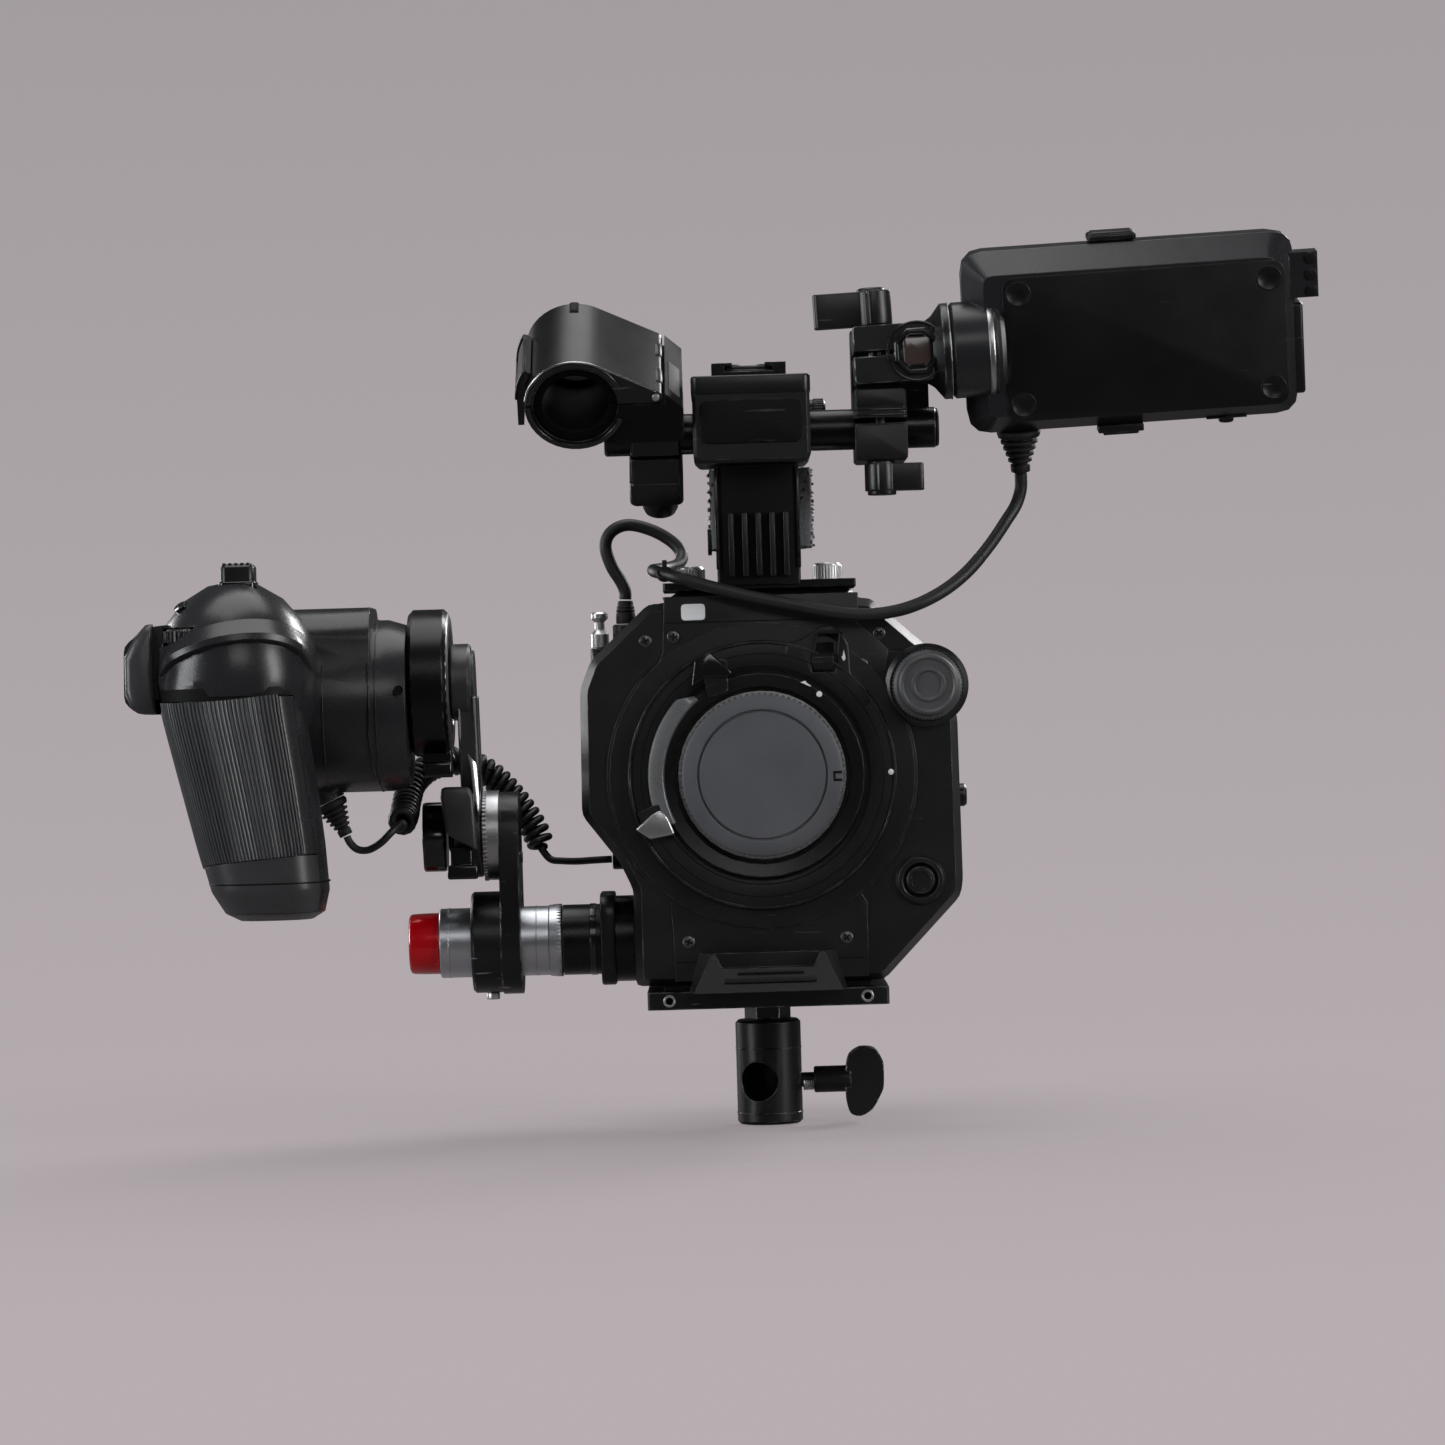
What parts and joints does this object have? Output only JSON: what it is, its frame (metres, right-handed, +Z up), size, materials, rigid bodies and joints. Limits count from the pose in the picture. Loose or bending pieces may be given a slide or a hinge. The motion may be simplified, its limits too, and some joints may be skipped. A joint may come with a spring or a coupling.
{
  "type": "cinema camera rig",
  "caption": "Box-shaped cinema camera with capped lens mount, top handle, hinged microphone holder, rod-mounted monitor and a side grip on a folding arm, on a stand receiver.",
  "frame": {"origin": "centre of the mouth of the stand receiver's socket", "axes": "+Z up, the lens looks along -Y, +X to the right when the lens is seen from the front"},
  "size_m": [0.4682, 0.2377, 0.3528],
  "materials": {
    "body_black": "black painted magnesium alloy, fine matt texture",
    "satin_black": "satin moulded",
    "anodised_black": "black anodised, worn at the edges",
    "cap_grey": "matt moulded",
    "grip_plastic": "fine spark-eroded texture",
    "rubber_black": "matt rubber",
    "bare_aluminium": "turned and brushed",
    "bright_steel": "bright, knurled where gripped",
    "red_anodised": "gloss red anodised",
    "lamp_white": "frosted lens",
    "strap_fabric": "hook-and-loop pile",
    "circuit_green": "solder mask"
  },
  "bodies": {
    "camera": {"stand_receiver": "anodised_black", "mounting_plate": "anodised_black", "front_foot": "body_black", "front_plate": "body_black", "tally_lamp": "lamp_white", "body_shell": "body_black", "rear_cover": "body_black", "mount_ring": "body_black", "bayonet_flange": "bright_steel", "sensor_unit": "circuit_green", "monitor_plug": "rubber_black", "handle_post": "satin_black", "handle_head": "satin_black", "handle_bar": "rubber_black", "accessory_shoe": "anodised_black", "cable_strap": "strap_fabric", "side_flange": "anodised_black", "side_barrel": "anodised_black", "monitor_cable": "rubber_black", "grip_coil": "rubber_black", "grip_tail": "rubber_black"},
    "t_screw": {"t_screw": "satin_black"},
    "battery": {"battery": "satin_black"},
    "body_cap": {"body_cap": "cap_grey"},
    "lock_lever": {"lock_lever": "satin_black"},
    "nd_wheel": {"nd_wheel": "anodised_black"},
    "nd_knob": {"nd_knob": "satin_black"},
    "wb_button": {"wb_button": "satin_black"},
    "release_slider": {"release_slider": "satin_black"},
    "audio_knob": {"audio_knob": "satin_black"},
    "pull_pin": {"pull_pin": "bright_steel"},
    "thumbscrew_left": {"thumbscrew_left": "bright_steel"},
    "thumbscrew_right": {"thumbscrew_right": "bright_steel"},
    "cross_rod": {"cross_rod": "anodised_black"},
    "mic_mount": {"mic_clamp": "satin_black", "mic_cradle": "satin_black"},
    "mic_clamp_knob": {"mic_clamp_knob": "satin_black"},
    "mic_lid": {"mic_lid": "satin_black"},
    "mic_latch": {"mic_latch": "satin_black"},
    "rod_clamp": {"rod_clamp": "satin_black", "square_bar": "bare_aluminium"},
    "rod_knob": {"rod_knob": "grip_plastic"},
    "tilt_arm": {"tilt_arm": "satin_black"},
    "bar_knob": {"bar_knob": "grip_plastic"},
    "monitor": {"monitor_back": "grip_plastic", "monitor_bezel": "grip_plastic", "hood_latch": "satin_black", "monitor_gland": "rubber_black"},
    "side_tube": {"side_tube": "bare_aluminium"},
    "tube_cap": {"tube_cap": "red_anodised"},
    "link_plate": {"link_plate": "anodised_black"},
    "swing_arm": {"swing_arm": "bare_aluminium"},
    "arm_knob": {"arm_knob": "satin_black"},
    "grip_disc": {"grip_disc": "satin_black"},
    "grip": {"grip_body": "grip_plastic", "grip_rubber": "rubber_black", "grip_boot": "rubber_black", "grip_lead": "rubber_black"},
    "grip_rocker": {"grip_rocker": "satin_black"},
    "thumb_dial": {"thumb_dial": "satin_black"}
  },
  "joints": [
    {"name": "t_screw_turn", "type": "hinge", "parent": "camera", "child": "t_screw", "pos_m": [0, 0, 0.0172], "axis": [1, 0, 0], "continuous": true},
    {"name": "battery_slide", "type": "slide", "parent": "camera", "child": "battery", "axis": [0, 1, 0], "range_m": [0, 0.03]},
    {"name": "body_cap_pull", "type": "slide", "parent": "camera", "child": "body_cap", "axis": [0, -1, 0], "range_m": [0, 0.05]},
    {"name": "lock_lever_turn", "type": "hinge", "parent": "camera", "child": "lock_lever", "pos_m": [0, -0.086, 0.143], "axis": [0, -1, 0], "range_deg": [0, 42]},
    {"name": "nd_wheel_turn", "type": "hinge", "parent": "camera", "child": "nd_wheel", "pos_m": [0.027, -0.067, 0.143], "axis": [0, 1, 0], "continuous": true},
    {"name": "nd_knob_turn", "type": "hinge", "parent": "camera", "child": "nd_knob", "pos_m": [0.0655, -0.09, 0.1764], "axis": [0, 1, 0], "continuous": true},
    {"name": "wb_button_press", "type": "slide", "parent": "camera", "child": "wb_button", "axis": [0, 1, 0], "range_m": [0, 0.0013], "stiffness_N_per_m": 600, "springref_m": -0.001},
    {"name": "release_slide", "type": "slide", "parent": "camera", "child": "release_slider", "axis": [0, 0, 1], "range_m": [0, 0.0028], "stiffness_N_per_m": 300, "springref_m": -0.002},
    {"name": "audio_knob_turn", "type": "hinge", "parent": "camera", "child": "audio_knob", "pos_m": [0.08, -0.02, 0.132], "axis": [1, 0, 0], "continuous": true},
    {"name": "pull_pin_lift", "type": "slide", "parent": "camera", "child": "pull_pin", "axis": [0, 0, 1], "range_m": [0, 0.005], "stiffness_N_per_m": 400, "springref_m": -0.003},
    {"name": "thumbscrew_left_turn", "type": "hinge", "parent": "camera", "child": "thumbscrew_left", "pos_m": [-0.0262, -0.05, 0.22], "axis": [0, 0, 1], "continuous": true},
    {"name": "thumbscrew_right_turn", "type": "hinge", "parent": "camera", "child": "thumbscrew_right", "pos_m": [0.0284, -0.05, 0.22], "axis": [0, 0, 1], "continuous": true},
    {"name": "cross_rod_slide", "type": "slide", "parent": "camera", "child": "cross_rod", "axis": [1, 0, 0], "range_m": [-0.012, 0.002], "deforming": ["monitor_cable"]},
    {"name": "mic_mount_turn", "type": "hinge", "parent": "cross_rod", "child": "mic_mount", "pos_m": [0, -0.07, 0.278], "axis": [1, 0, 0], "range_deg": [-30, 45]},
    {"name": "mic_clamp_knob_turn", "type": "hinge", "parent": "mic_mount", "child": "mic_clamp_knob", "pos_m": [-0.0372, -0.05279, 0.25343], "axis": [0, -0.5736, 0.8192], "continuous": true},
    {"name": "mic_lid_open", "type": "hinge", "parent": "mic_mount", "child": "mic_lid", "pos_m": [-0.0372, -0.08721, 0.30257], "axis": [0, 0.8192, 0.5736], "range_deg": [0, 85]},
    {"name": "mic_latch_open", "type": "hinge", "parent": "mic_lid", "child": "mic_latch", "pos_m": [-0.0864, -0.0926, 0.31028], "axis": [0, 0.8192, 0.5736], "range_deg": [0, 60]},
    {"name": "rod_clamp_turn", "type": "hinge", "parent": "cross_rod", "child": "rod_clamp", "pos_m": [0, -0.07, 0.278], "axis": [1, 0, 0], "range_deg": [-40, 50], "deforming": ["monitor_cable"]},
    {"name": "rod_knob_turn", "type": "hinge", "parent": "rod_clamp", "child": "rod_knob", "pos_m": [0.05, -0.084, 0.258], "axis": [0, 0, 1], "continuous": true},
    {"name": "arm_slide", "type": "slide", "parent": "rod_clamp", "child": "tilt_arm", "axis": [0, 1, 0], "range_m": [0, 0.01], "deforming": ["monitor_cable"]},
    {"name": "bar_knob_turn", "type": "hinge", "parent": "tilt_arm", "child": "bar_knob", "pos_m": [0.04835, -0.0825, 0.31735], "axis": [-0.0401, 0, 0.9992], "range_deg": [-100, 100]},
    {"name": "monitor_tilt", "type": "hinge", "parent": "tilt_arm", "child": "monitor", "pos_m": [0.0648, -0.0825, 0.3064], "axis": [0.9992, 0, 0.0401], "range_deg": [-60, 45], "deforming": ["monitor_cable"]},
    {"name": "side_tube_turn", "type": "hinge", "parent": "camera", "child": "side_tube", "pos_m": [-0.106, -0.035, 0.0786], "axis": [1, 0, 0], "range_deg": [-20, 30], "deforming": ["grip_coil", "grip_lead", "grip_tail"]},
    {"name": "tube_cap_turn", "type": "hinge", "parent": "side_tube", "child": "tube_cap", "pos_m": [-0.136, -0.035, 0.0786], "axis": [1, 0, 0], "continuous": true},
    {"name": "link_slide", "type": "slide", "parent": "side_tube", "child": "link_plate", "axis": [1, 0, 0], "range_m": [-0.008, 0.008], "deforming": ["grip_coil", "grip_lead", "grip_tail"]},
    {"name": "arm_knob_turn", "type": "hinge", "parent": "link_plate", "child": "arm_knob", "pos_m": [-0.13, -0.035, 0.1214], "axis": [1, 0, 0], "continuous": true, "deforming": ["grip_coil", "grip_lead", "grip_tail"]},
    {"name": "swing_arm_turn", "type": "hinge", "parent": "link_plate", "child": "swing_arm", "pos_m": [-0.117, -0.035, 0.1214], "axis": [1, 0, 0], "range_deg": [-30, 30], "deforming": ["grip_coil", "grip_lead", "grip_tail"]},
    {"name": "grip_disc_turn", "type": "hinge", "parent": "swing_arm", "child": "grip_disc", "pos_m": [-0.13, -0.055, 0.183], "axis": [1, 0, 0], "range_deg": [-30, 30], "deforming": ["grip_coil", "grip_lead", "grip_tail"]},
    {"name": "grip_turn", "type": "hinge", "parent": "grip_disc", "child": "grip", "pos_m": [-0.15, -0.06, 0.1745], "axis": [1, 0, 0], "range_deg": [-30, 30], "deforming": ["grip_coil", "grip_lead", "grip_tail"]},
    {"name": "grip_rocker_tilt", "type": "hinge", "parent": "grip", "child": "grip_rocker", "pos_m": [-0.2013, -0.098, 0.219], "axis": [0, 1, 0], "range_deg": [-9, 9], "stiffness_Nm_per_rad": 0.05},
    {"name": "thumb_dial_turn", "type": "hinge", "parent": "grip", "child": "thumb_dial", "pos_m": [-0.2196, -0.1132, 0.203], "axis": [0, 0, 1], "continuous": true}
  ]
}
